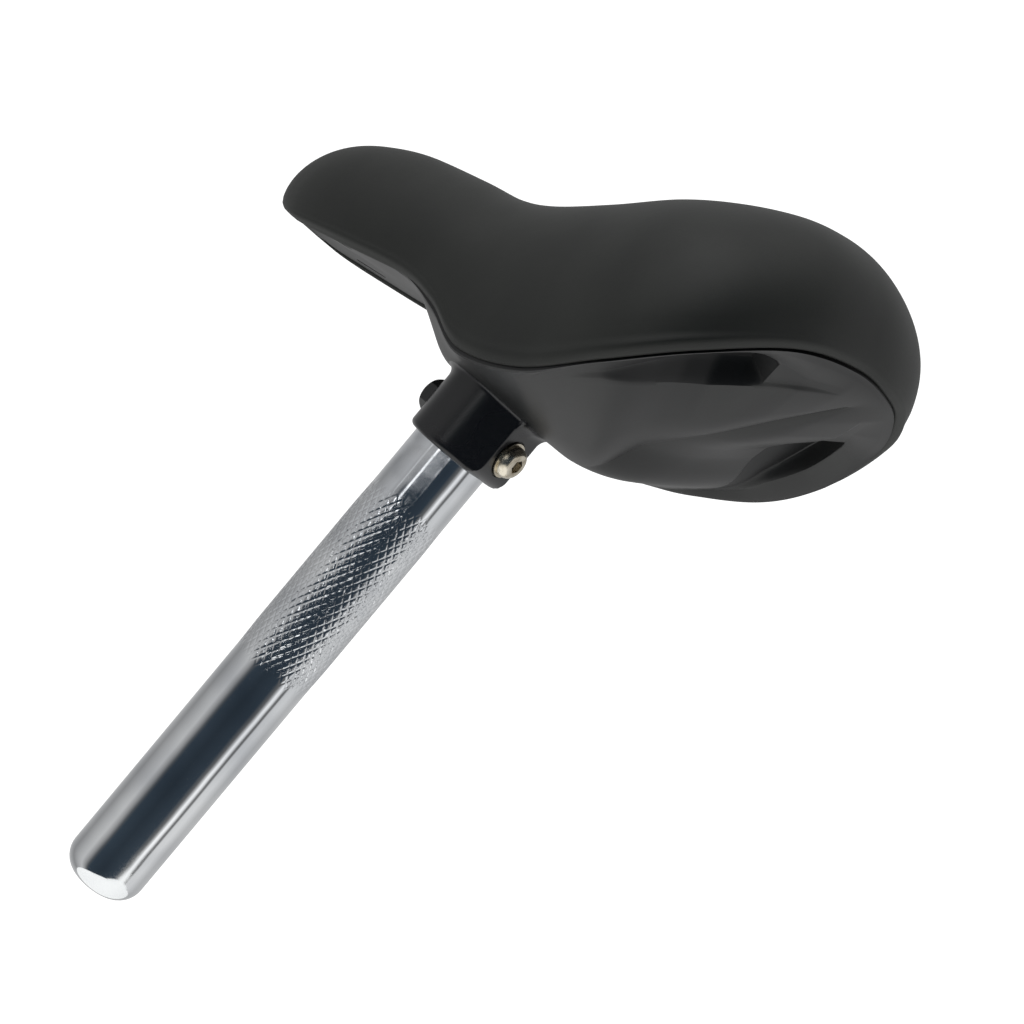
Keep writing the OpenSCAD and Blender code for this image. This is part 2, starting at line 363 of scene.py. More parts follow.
@dataclass(frozen=True)
class NickelPlate:
    """Nickel-plated steel: warmer and duller than chrome, with fine handling scratches."""

    scratch: float = 0.35 * MM
    stain: float = 3 * MM
    roughness: float = 0.24

    def build(self) -> bpy.types.Material:
        """Makes the material.

        Returns:
            The material.
        """
        material, tree, shader, place = new_material("nickel_plate")
        scratch = add_node(tree, "TexNoise", {"Vector": place, "Scale": 1 / self.scratch, "Detail": 3.0})
        stain = add_node(tree, "TexNoise", {"Vector": place, "Scale": 1 / self.stain, "Detail": 3.0})
        bump = add_node(tree, "Bump", {"Height": scratch, "Strength": 0.2, "Distance": 0.04 * MM})
        # Thin spots in the plate look browner, mostly near edges
        tint = add_node(tree, "ValToRGB", {"Fac": stain})
        set_ramp(tint, [(0.3, linear(Shade.NICKEL_DEEP)), (0.6, linear(Shade.NICKEL))])
        dull, smooth = self.roughness + 0.1, self.roughness - 0.06
        rough = add_node(tree, "MapRange", {"Value": stain, "To Min": dull, "To Max": smooth})
        feed(tree, shader, {"Base Color": tint, "Roughness": rough, "Normal": bump})
        shader.inputs["Metallic"].default_value = 1.0
        return material


@dataclass(frozen=True)
class BlackOxide:
    """Black oxide on a steel nut: a thin dark coat with an oily half-gloss."""

    grit: float = 0.3 * MM
    roughness: float = 0.38
    ior: float = 1.5

    def build(self) -> bpy.types.Material:
        """Makes the material.

        Returns:
            The material.
        """
        material, tree, shader, place = new_material("black_oxide")
        # The etched grit under the coat makes its gloss a little greasy and uneven
        grit = add_node(tree, "TexNoise", {"Vector": place, "Scale": 1 / self.grit, "Detail": 3.0})
        bump = add_node(tree, "Bump", {"Height": grit, "Strength": 0.2, "Distance": 0.05 * MM})
        tint = add_node(tree, "ValToRGB", {"Fac": grit})
        set_ramp(tint, [(0.4, linear(Shade.BLACK_OXIDE)), (0.8, linear(Shade.PLASTIC_DARK))])
        feed(tree, shader, {"Base Color": tint, "Normal": bump})
        shader.inputs["Roughness"].default_value = self.roughness
        shader.inputs["IOR"].default_value = self.ior
        return material


@dataclass(frozen=True)
class BacklitAcrylic:
    """Opal acrylic sheet of a light table, sanded matt."""

    sanding: float = 4 * MM
    roughness: float = 0.9
    glow: float = 0.75

    def build(self) -> bpy.types.Material:
        """Makes the material.

        Returns:
            The material.
        """
        material, tree, shader, place = new_material("backlit_acrylic")
        sanding = add_node(tree, "TexNoise", {"Vector": place, "Scale": 1 / self.sanding, "Detail": 2.0})
        bump = add_node(tree, "Bump", {"Height": sanding, "Strength": 0.05, "Distance": 0.05 * MM})
        feed(tree, shader, {"Normal": bump})
        shader.inputs["Base Color"].default_value = linear(Shade.FLOOR)
        shader.inputs["Roughness"].default_value = self.roughness
        # Light from below comes evenly through the sheet, so it looks white all over
        shader.inputs["Emission Color"].default_value = linear(Shade.FLOOR)
        shader.inputs["Emission Strength"].default_value = self.glow
        return material


# Mesh helpers


def ease(value: float) -> float:
    """Smooth step from 0 to 1."""
    held = max(0.0, min(1.0, value))
    return held * held * (3 - 2 * held)


def mix(start: np.ndarray | float, end: np.ndarray | float, share: float) -> np.ndarray | float:
    """Point part of the way from start to end."""
    return start + (end - start) * share


def make_object(
    name: str, points: Iterable[Sequence[float]], faces: Iterable[Sequence[int]]
) -> bpy.types.Object:
    """Makes a mesh object whose faces point outwards.

    Args:
        name: The object's name.
        points: Vertex places in metres.
        faces: Vertex indices of each face.

    Returns:
        The object, linked to the scene.
    """
    mesh = bpy.data.meshes.new(name)
    mesh.from_pydata([tuple(p) for p in points], [], [tuple(f) for f in faces])
    work = bmesh.new()
    work.from_mesh(mesh)
    bmesh.ops.remove_doubles(work, verts=work.verts, dist=1e-7)
    bmesh.ops.recalc_face_normals(work, faces=work.faces)
    work.to_mesh(mesh)
    work.free()
    made = bpy.data.objects.new(name, mesh)
    bpy.context.scene.collection.objects.link(made)
    return made


def soften(piece: bpy.types.Object, sharp_from: float = 32.0) -> None:
    """Shades a piece smooth, and keeps edges sharp where faces meet steeply.

    Args:
        piece: The mesh object.
        sharp_from: Angle between faces, in degrees, from which an edge stays sharp.
    """
    work = bmesh.new()
    work.from_mesh(piece.data)
    limit = math.radians(sharp_from)
    for face in work.faces:
        face.smooth = True
    for edge in work.edges:
        edge.smooth = not (len(edge.link_faces) == 2 and edge.calc_face_angle(0.0) > limit)
    work.to_mesh(piece.data)
    work.free()


def dress(piece: bpy.types.Object, material: bpy.types.Material) -> None:
    """Gives a new piece its finish.

    Args:
        piece: The mesh object.
        material: The finish.
    """
    piece.data.materials.clear()
    piece.data.materials.append(material)


def combine(base: bpy.types.Object, tool: bpy.types.Object, how: str) -> None:
    """Joins a tool solid to a base solid or cuts it away, then deletes the tool.

    Args:
        base: The mesh that changes.
        tool: The mesh that is used up.
        how: UNION or DIFFERENCE.
    """
    step = base.modifiers.new("combine", "BOOLEAN")
    step.operation = how
    step.solver = "EXACT"
    step.material_mode = "TRANSFER"
    step.object = tool
    graph = bpy.context.evaluated_depsgraph_get()
    result = bpy.data.meshes.new_from_object(base.evaluated_get(graph))
    base.modifiers.clear()
    base.data = result
    bpy.data.objects.remove(tool)


def ring_faces(rows: int, count: int) -> list[tuple[int, ...]]:
    """Quads between successive closed rings of points.

    Args:
        rows: How many rings there are.
        count: Points in one ring.

    Returns:
        Vertex indices of each quad.
    """
    quads = []
    for start in range(0, (rows - 1) * count, count):
        for j in range(count):
            after = (j + 1) % count
            quads.append((start + j, start + after, start + count + after, start + count + j))
    return quads


def capped(name: str, rings: Sequence[Sequence[Vector]]) -> bpy.types.Object:
    """Closed solid through rings, with a flat face on the first and on the last.

    Args:
        name: The object's name.
        rings: Rings of as many points each.

    Returns:
        The mesh object.
    """
    count = len(rings[0])
    last = (len(rings) - 1) * count
    faces = ring_faces(len(rings), count) + [tuple(range(count)), tuple(range(last, last + count))]
    return make_object(name, [p for ring in rings for p in ring], faces)


# Saddle


@dataclass(frozen=True)
class SaddleForm:
    """The flowing surfaces that cover and base share, as smooth curves through listed stations.

    Each station holds the seam's x, y and z, the ridge's x and z, and the keel's x and z, in
    millimetres from the collar's mouth, on the left half from the nose to the tail.
    """

    post: PostFrame = PostFrame()
    half_width_scale: float = 68.5 / 69
    fullness: float = 2.3
    bulge: float = 3.5
    rim: float = 1.5
    nose_inset: float = 0.5
    gutter: float = 1.8
    gutter_edge: float = 0.14
    keel_round: float = 0.3
    tip_round: float = 3.4
    wall: float = 3.2
    outer_wall: float = 0.04
    inner_wall: float = 0.03
    rim_scale: tuple[float, float, float] = (0.99, 0.98, 1)
    hollows: tuple[Hollow, ...] = (
        (6.0, 0.05, 0.10, 0.0, 0.0, 0.0),
        (6.3, 0.04, 0.11, 1.2, 1.2, 0.0),
        (6.6, 0.05, 0.14, 2.8, 2.8, 0.0),
        (7.0, 0.07, 0.20, 4.3, 4.3, 1.2),
        (7.4, 0.11, 0.29, 5.0, 5.5, 4.0),
        (7.7, 0.11, 0.36, 5.6, 5.5, 6.2),
        (8.0, 0.11, 0.42, 6.0, 5.5, 8.0),
        (8.4, 0.13, 0.48, 6.0, 5.5, 8.5),
        (8.75, 0.16, 0.46, 4.8, 5.0, 7.5),
        (9.0, 0.20, 0.42, 3.4, 4.2, 0.0),
        (9.5, 0.25, 0.35, 1.0, 2.0, 0.0),
        (10.2, 0.2, 0.3, 0.0, 0.0, 0.0),
    )
    stations: tuple[Station, ...] = (
        (89, 0, 57, 60, 86.5, 80, 57.2),
        (76, 13.5, 53, 53, 86.8, 69, 53.4),
        (50, 24.5, 47.5, 41, 86.2, 47, 47.9),
        (20, 32.5, 41.5, 20, 82.3, 25, 41.2),
        (3, 38, 34, 4, 79, 14, 27),
        (-14, 44.5, 22.7, -8, 79.5, -8, 20),
        (-40, 55.5, 20.2, -25, 83.5, -27, 13),
        (-68, 67, 26, -43, 88.3, -44, 9.5),
        (-90, 63, 36, -57, 91.3, -58, 21),
        (-108.5, 45, 48, -67, 93.6, -77, 30),
        (-117.5, 22, 53, -74, 94.5, -93, 39),
        (-120, 0, 53.5, -77, 94.7, -109, 47.5),
    )

    def last(self) -> int:
        """Index of the tail's station."""
        return len(self.stations) - 1

    def station(self, index: int) -> np.ndarray:
        """Station at a whole index, mirrored past the nose and the tail.

        Args:
            index: The index, which may be one past either end.

        Returns:
            Its values.
        """
        last = self.last()
        if 0 <= index <= last:
            return np.array(self.stations[index], float)
        values = np.array(self.stations[-index if index < 0 else 2 * last - index], float)
        values[1] = -values[1]
        return values

    def at(self, u: float) -> np.ndarray:
        """Smooth station values, by a Catmull-Rom curve.

        Args:
            u: Place round the seam, from 0 at the nose to last() at the tail.

        Returns:
            The values at that place.
        """
        i = min(int(math.floor(u)), self.last() - 1)
        t = u - i
        a, b, c, d = (self.station(i + k) for k in (-1, 0, 1, 2))
        square, cube = 2 * a - 5 * b + 4 * c - d, 3 * b - a - 3 * c + d
        return 0.5 * (2 * b + (c - a) * t + square * t**2 + cube * t**3)

    def seam(self, u: float) -> np.ndarray:
        """Seam point in millimetres from the collar's mouth."""
        s = self.at(u)
        return np.array((s[0], s[1] * self.half_width_scale, s[2]))

    def tip(self, u: float) -> float:
        """Share of the nose tip's rounding under, which is whole at the middle line."""
        return ease((1.2 - u) / 1.0)

    @staticmethod
    def strip(u: float, end: float = 3.3) -> float:
        """Share of the flat strip under the nose, which runs out towards the neck at end."""
        return ease((u - 0.6) / 0.9) * ease((end - u) / 1.0)

    @staticmethod
    def flank(u: float) -> float:
        """Share of the rim's full height, which it reaches behind the neck."""
        return ease((u - 2.8) / 1.4)

    def inward(self, u: float) -> np.ndarray:
        """Level direction from the seam towards the crown line."""
        way = (self.ridge(u) - self.seam(u)) * (1, 1, 0)
        return way / max(float(np.linalg.norm(way)), 1e-6)

    def rim_line(self, u: float) -> np.ndarray:
        """Seam point of the base, which stands back where the nose tip curls under."""
        return self.seam(u) + self.inward(u) * (self.tip_round * self.tip(u))

    def ridge(self, u: float) -> np.ndarray:
        """Point on the cover's crown line above the seam point."""
        s = self.at(u)
        return np.array((s[3], 0.0, s[4]))

    def keel(self, u: float) -> np.ndarray:
        """Point on the base's middle line below the seam point."""
        s = self.at(u)
        return np.array((s[5], 0.0, s[6]))

    def arch(self, u: float, angle: float) -> np.ndarray:
        """Point on the cover, which bulges a little over a plain superellipse.

        Args:
            u: Place round the seam.
            angle: 0 at the seam and a quarter turn at the ridge.

        Returns:
            The point in millimetres.
        """
        seam, ridge = self.seam(u), self.ridge(u)
        out = max(math.cos(angle), 0.0) ** (2 / self.fullness)
        up = math.sin(angle) ** (2 / self.fullness)
        side = (seam - ridge) * (1, 1, 0)
        reach = max(float(np.linalg.norm(side)), 1.0)
        point = mix(ridge, seam, out) + side * (2.6 * self.bulge * math.sqrt(up) * (1 - up) / reach)
        point[2] = seam[2] + (ridge[2] - seam[2]) * up
        return point

    def hollow_at(self, u: float) -> tuple[float, ...]:
        """The hollow's outer and inner edge, and the rise of belly, flange and roof, at place u."""
        places, *columns = zip(*self.hollows)
        return tuple(float(np.interp(u, places, column)) for column in columns)

    def hollow(self, u: float, w: float) -> float:
        """Rise of the underside over a plain belly.

        Args:
            u: Place round the seam.
            w: 0 at the rim and 1 at the keel.

        Returns:
            The rise in millimetres.
        """
        outer, inner, belly, flange, roof = self.hollow_at(u)
        bulge = belly * max(0.0, min(1.0, (1 - w) / (1 - inner))) ** 1.6
        recess = flange * min(1.0, w / outer) + roof * ease((w - outer) / self.outer_wall)
        return bulge + (recess - bulge) * ease((inner + 0.01 - w) / self.inner_wall)

    def sheet_places(self, u: float, counts: Counts) -> list[float]:
        """Places from rim to keel whose columns follow the hollow's edges.

        Args:
            u: Place round the seam.
            counts: Columns on the flange, the outer wall, the roof, the inner wall and the belly.

        Returns:
            Shares from 0 at the rim to 1 at the keel.
        """
        outer, inner, *_ = self.hollow_at(u)
        wall = min(self.outer_wall, (inner - outer) / 2)
        roof_end = max(inner - self.inner_wall, outer + wall)
        ends = (0.0, outer, outer + wall, roof_end, inner + 0.01, 1.0)
        places = [0.0]
        for low, high, count in zip(ends, ends[1:], counts):
            places += [low + (high - low) * (j + 1) / count for j in range(count)]
        return places

    def under(self, u: float, w: float) -> np.ndarray:
        """Point on the base's underside.

        Args:
            u: Place round the seam.
            w: 0 at the rim and 1 at the keel.

        Returns:
            The point in millimetres.
        """
        seam, keel = self.rim_line(u), self.keel(u)
        nose = self.strip(u)
        # The rim is thinner beside the hollows, so that they start close to the seam
        thin = 0.45 * ease((u - 6.2) / 0.6) * ease((9.4 - u) / 0.8)
        drop = self.rim * self.flank(u) * (1 - thin) - self.nose_inset * nose
        rim = seam * self.rim_scale - (0, 0, drop)
        point = mix(rim, keel, w)
        gutter = self.gutter * nose * ease((self.gutter_edge - w) / 0.03)
        point[2] = rim[2] + (keel[2] - rim[2]) * self.fall(w) + self.hollow(u, w) + gutter
        return point

    def fall(self, w: float) -> float:
        """Share of the belly's depth, with the keel itself rounded over.

        Args:
            w: 0 at the rim and 1 at the keel.

        Returns:
            The share from 0 to 1.
        """
        turn = 1 - self.keel_round
        slope = 0.8 * turn**-0.2
        past = max(0.0, w - turn)
        depth = min(w, turn) ** 0.8 + slope * past * (1 - past / (2 * self.keel_round))
        return depth / (turn**0.8 + slope * self.keel_round / 2)

    def to_part(self, point: np.ndarray) -> Point:
        """Turns millimetres from the collar's mouth into the part's frame in metres."""
        mouth = self.post.mouth()
        return mouth.x + point[0] * MM, mouth.y + point[1] * MM, mouth.z + point[2] * MM

    def shell(
        self, name: str, half_ring: Callable[[float], list[np.ndarray]], steps: int
    ) -> bpy.types.Object:
        """Closed mesh through rings, each a closed half outline and its mirror image.

        Args:
            name: The object's name.
            half_ring: Gives the left half outline at u, from the top middle to the low middle.
            steps: Rings between two stations.

        Returns:
            The mesh object.
        """
        rows = self.last() * steps + 1
        points: list[Point] = []
        count = 0
        for i in range(rows):
            left = half_ring(i / steps)
            right = [p * (1, -1, 1) for p in reversed(left[1:-1])]
            count = len(left) + len(right)
            points += [self.to_part(p) for p in left + right]
        faces = [self.folded(quad, rows, count) for quad in ring_faces(rows, count)]
        return make_object(name, points, [face for face in faces if len(face) > 2])

    @staticmethod
    def folded(quad: tuple[int, ...], rows: int, count: int) -> list[int]:
        """A quad's corners once the first and last rings are folded flat on the middle plane.

        Args:
            quad: Vertex indices.
            rows: How many rings there are.
            count: Points in one ring.

        Returns:
            The indices left, each once.
        """
        corners = []
        for index in quad:
            row, place = divmod(index, count)
            if row in (0, rows - 1) and place > count // 2:
                place = count - place
            corners.append(row * count + place)
        return list(dict.fromkeys(corners))


@dataclass
class FoamCover:
    """The one-piece foam cover: crowned top, soft flanks and a rolled lip along the seam."""

    form: SaddleForm
    finish: bpy.types.Material
    arch_steps: int = 40
    arch_from: float = math.radians(7)
    columns: Counts = (2, 3, 6, 3, 8)
    steps: int = 16

    def lip_points(self, u: float) -> list[np.ndarray]:
        """The rolled bead at the cover's edge, from the flank down and in to the seam.

        Args:
            u: Place round the seam.

        Returns:
            Points in millimetres. The bead fades out at the nose, which curls under, and at the tail.
        """
        seam, inward, tip = self.form.seam(u), self.form.inward(u), self.form.tip(u)
        nose = self.form.strip(u, 3.4)
        rolled = (1 - tip) * (1 - ease((u - 9.2) / 1.0))
        start, above = self.form.arch(u, math.radians(1.5)), self.form.arch(u, math.radians(4))
        # Each row holds a share of the way up, then how far in the bead and the nose tip lie there
        bead = ((1.0, 0.1, 0.15), (0.75, 0.0, 0.3), (0.5, -0.3, 0.5), (0.25, -0.6, 0.75), (0.0, -0.7, 1.1))
        curl = ((0.6, -0.6, 1.7), (0.3, -0.35, 2.3), (0.1, 0.0, 3.0))
        points = []
        for low, high, rows in ((start, above, bead), (seam, start, curl)):
            for share, out, under in rows:
                points.append(mix(low, high, share) + inward * (out * rolled + under * tip))
        # Each row holds the reach inward, its growth on the strip, and the height off and on the strip
        lip = (
            (0.35, 0.0, 0.02, -0.3),
            (0.65, 0.35, 0.02, -0.4),
            (0.9, 0.8, 0.05, -0.1),
            (0.9, 1.2, 0.1, 0.8),
        )
        for reach, growth, height, nose_height in lip:
            across = reach + nose * growth + tip * self.form.tip_round
            points.append(seam + inward * across + (0, 0, mix(height, nose_height, nose)))
        return points

    def half_ring(self, u: float) -> list[np.ndarray]:
        """Left half outline, over the arch, round the lip and across the floor.

        Args:
            u: Place round the seam.

        Returns:
            Points in millimetres.
        """
        top = math.pi / 2
        turns = [mix(top, self.arch_from, j / self.arch_steps) for j in range(self.arch_steps + 1)]
        least = 0.1 * self.form.strip(u, 3.4)
        floor = [
            self.form.under(u, max(w, least)) + (0, 0, self.form.wall - 0.2)
            for w in self.form.sheet_places(u, self.columns)[2:]
        ]
        return [self.form.arch(u, turn) for turn in turns] + self.lip_points(u) + floor

    def build(self) -> bpy.types.Object:
        """Builds the cover and lets it stand for the CAD solid.

        Returns:
            The cover.
        """
        cover = self.form.shell("foam_cover", self.half_ring, self.steps)
        soften(cover, 70)
        dress(cover, self.finish)
        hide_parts("saddle_cover")
        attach(cover, ROOT)
        return cover


@dataclass
class MouldedBase:
    """The base moulding: rim, keel, tail hollows, collar, boss and nose slots in one mesh."""

    form: SaddleForm
    post: PostFrame
    finish: bpy.types.Material
    collar_finish: bpy.types.Material
    collar_r: float = 15.5 * MM
    bore_r: float = 12.85 * MM
    bore_depth: float = 31 * MM
    cap_top: float = 33.5 * MM
    boss_reach: float = 16.2 * MM
    boss_half: float = 8.5 * MM
    edge_round: float = 1.8 * MM
    corner_round: float = 0.6 * MM
    boss_round: float = 5 * MM
    side_sweep: float = 1.3 * MM
    front_sweep: float = 2.7 * MM
    rear_sweep: float = 3.2 * MM
    root_height: float = 22 * MM
    root_lift: float = 0.06 * MM
    probe_from: float = 5 * MM
    mouth_insets: tuple[float, ...] = (5.0, 4.4, 3.8, 3.2, 2.6, 2.2)
    cap_sink: float = 1.2 * MM
    slot_span: tuple[float, float] = (1.40, 1.78)
    slot_share: float = 0.46
    slot_half: float = 0.8 * MM
    slot_deep: float = 1.8 * MM
    seam_gap: float = 0.75
    bolt_up: float = 10.3 * MM
    bolt_hole_r: float = 3.3 * MM
    bolt_reach: float = 30 * MM
    seat_rear: float = 15.6 * MM
    seat_rear_r: float = 6.5 * MM
    seat_front: float = 14.2 * MM
    seat_front_r: float = 6.3 * MM
    arc_steps: int = 28
    side_steps: int = 8
    corner_steps: int = 5
    rear_steps: int = 7
    wall_steps: int = 18
    root_steps: int = 10
    steps: int = 16
    columns: Counts = (8, 8, 12, 8, 30)

    def half_ring(self, u: float) -> list[np.ndarray]:
        """Left half outline, from the sheet's middle to the rim and back beneath it.

        Args:
            u: Place round the seam.

        Returns:
            Points in millimetres.
        """
        form = self.form
        places = form.sheet_places(u, self.columns)
        under = [form.under(u, w) for w in places]
        top = [form.under(u, w) + (0, 0, form.wall) for w in places[1:]]
        edge = form.rim_line(u) - np.array((0, 0, self.seam_gap * form.flank(u)))
        inset = mix(edge, under[1], 0.35)
        inset[2] = edge[2] + 0.1
        return list(reversed(top)) + [inset, mix(under[0], edge, 0.6)] + under

    def outline(self) -> list[tuple[Vector, Vector]]:
        """The collar's plan: round in front, flat sides, and a square boss with eased corners.

        Returns:
            Points and outward directions, all the way round from the front.
        """
        corner = Vector((-self.boss_reach, self.boss_half))
        touch = math.atan2(corner.y, corner.x) - math.acos(self.collar_r / corner.length)
        centre = Vector((self.corner_round - self.boss_reach, 0.0))
        centre.y = (self.collar_r - self.corner_round - math.cos(touch) * centre.x) / math.sin(touch)
        half = []
        for i in range(self.arc_steps + 1):
            turn = touch * i / self.arc_steps
            out = Vector((math.cos(turn), math.sin(turn)))
            half.append((out * self.collar_r, out))
        tangent, side = half[-1]
        for i in range(1, self.side_steps + 1):
            half.append((tangent.lerp(centre + side * self.corner_round, i / self.side_steps), side))
        for i in range(1, self.corner_steps + 1):
            turn = touch + (math.pi - touch) * i / self.corner_steps
            out = Vector((math.cos(turn), math.sin(turn)))
            half.append((centre + out * self.corner_round, out))
        last, rear = half[-1]
        for i in range(1, self.rear_steps + 1):
            half.append((Vector((last.x, last.y * (1 - i / self.rear_steps))), rear))
        other = [(Vector((p.x, -p.y)), Vector((n.x, -n.y))) for p, n in reversed(half[1:-1])]
        return half + other

    def belly_height(self, tree: BVHTree, place: Vector) -> float:
        """Height over the mouth at which a line along the post meets the belly.

        Args:
            tree: The sheet's faces.
            place: Where the line stands, in the post's plan.

        Returns:
            The height in metres.
        """
        matrix = self.post.matrix()
        start = matrix @ Vector((place.x, place.y, self.probe_from))
        hit = tree.ray_cast(start, matrix.to_3x3() @ Vector((0, 0, 1)))
        return self.probe_from + hit[3] if hit[0] is not None else self.root_height

    def eased_corner(self, place: Vector) -> Vector:
        """Pulls a point in to the boss's rounded lower rear corner.

        Args:
            place: A point in the post's frame.

        Returns:
            The point, moved if it stood outside the rounding.
        """
        middle = Vector((self.boss_round - self.boss_reach, place.y, self.boss_round))
        away = place - middle
        if away.x < 0 and away.z < 0 and away.length > self.boss_round:
            return middle + away * (self.boss_round / away.length)
        return place

    def column(self, tree: BVHTree, place: Vector, out: Vector) -> list[Vector]:
        """One line of points from the mouth's inside up the wall and out onto the belly.

        Args:
            tree: The sheet's faces.
            place: The wall's point in the post's plan.
            out: The outward direction there.

        Returns:
            Points in the post's frame.
        """
        sweep = self.side_sweep + self.front_sweep * max(0.0, out.x) ** 2
        sweep += self.rear_sweep * max(0.0, -out.x) ** 4
        wall_top = self.belly_height(tree, place)
        foot = self.belly_height(tree, place + out * sweep) + self.root_lift
        inner = [place * (1 - inset * MM / place.length) for inset in self.mouth_insets]
        points = [Vector((p.x, p.y, 0.0)) for p in inner]
        for a in range(0, 90, 15):
            turn = math.radians(a)
            flat = place * (1 - self.edge_round * (1 - math.sin(turn)) / place.length)
            points.append(Vector((flat.x, flat.y, self.edge_round * (1 - math.cos(turn)))))
        start = wall_top - sweep
        rows = [(0.0, mix(self.edge_round, start, i / self.wall_steps)) for i in range(self.wall_steps + 1)]
        for i in range(1, self.root_steps + 1):
            t = i / self.root_steps
            rows.append((sweep * t * t, (1 - t) ** 2 * start + 2 * t * (1 - t) * wall_top + t * t * foot))
        # The last two rows turn in within the sheet and rise to the socket's cap, which foam hides
        rows += [(sweep * 0.75, max(wall_top, foot) + self.cap_sink), (0.0, self.cap_top)]
        for grow, height in rows:
            flat = place + out * grow
            points.append(Vector((flat.x, flat.y, height)))
        return [self.eased_corner(p) for p in points]

    def collar(self, sheet: bpy.types.Object) -> bpy.types.Object:
        """The collar and boss: a rounded mouth below and a root that sweeps out onto the belly.

        Args:
            sheet: The base's sheet, which the root meets.

        Returns:
            The solid.
        """
        tree = BVHTree.FromObject(sheet, bpy.context.evaluated_depsgraph_get())
        columns = [self.column(tree, place, out) for place, out in self.outline()]
        matrix = self.post.matrix()
        collar = capped("collar", [[matrix @ p for p in row] for row in zip(*columns)])
        collar.data.materials.append(self.collar_finish)
        return collar

    def nose_slot(self, side: int) -> bpy.types.Object:
        """Cutter for a blind slot beside the nose's lip, with round ends.

        Args:
            side: 1 for the left, -1 for the right.

        Returns:
            The cutter.
        """
        places = [self.form.under(u, self.slot_share) * (1, side, 1) for u in self.slot_span]
        ends = [Vector(self.form.to_part(place)) for place in places]
        along = (ends[1] - ends[0]).normalized()
        across = Vector((0, 0, 1)).cross(along).normalized()
        rim = []
        for end, first in ((ends[0], 90), (ends[1], -90)):
            for a in range(0, 181, 20):
                turn = math.radians(first + a)
                rim.append(end + (along * math.cos(turn) + across * math.sin(turn)) * self.slot_half)
        return capped("slot", [[p + Vector((0, 0, z)) for p in rim] for z in (-2 * MM, self.slot_deep)])

    @staticmethod
    def bar(matrix: Matrix, radius: float, low: float, high: float, sides: int = 64) -> bpy.types.Object:
        """A plain round bar for cutting.

        Args:
            matrix: The bar's frame, z along it.
            radius: The bar's radius.
            low: Where it starts.
            high: Where it ends.
            sides: Facets round it.

        Returns:
            The mesh object.
        """
        turns = [2 * math.pi * i / sides for i in range(sides)]
        rim = [Vector((radius * math.cos(t), radius * math.sin(t), 0)) for t in turns]
        return capped("bar", [[matrix @ (p + Vector((0, 0, z))) for p in rim] for z in (low, high)])

    def build(self) -> bpy.types.Object:
        """Builds the base and lets it stand for the CAD solid.

        Returns:
            The base.
        """
        base = self.form.shell("moulded_base", self.half_ring, self.steps)
        base.data.materials.append(self.finish)
        bolt = self.post.bolt_matrix(self.bolt_up)
        cutters = (
            self.bar(self.post.matrix(), self.bore_r, -5 * MM, self.bore_depth, 96),
            self.bar(bolt, self.bolt_hole_r, -self.bolt_reach, self.bolt_reach, 32),
            self.bar(bolt, self.seat_rear_r, self.seat_rear, self.seat_rear + 6 * MM),
            self.bar(bolt, self.seat_front_r, -self.seat_front - 8 * MM, -self.seat_front),
            self.nose_slot(1),
            self.nose_slot(-1),
        )
        combine(base, self.collar(base), "UNION")
        for cutter in cutters:
            combine(base, cutter, "DIFFERENCE")
        soften(base, 28)
        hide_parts("base_shell")
        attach(base, ROOT)
        return base


# Seat post


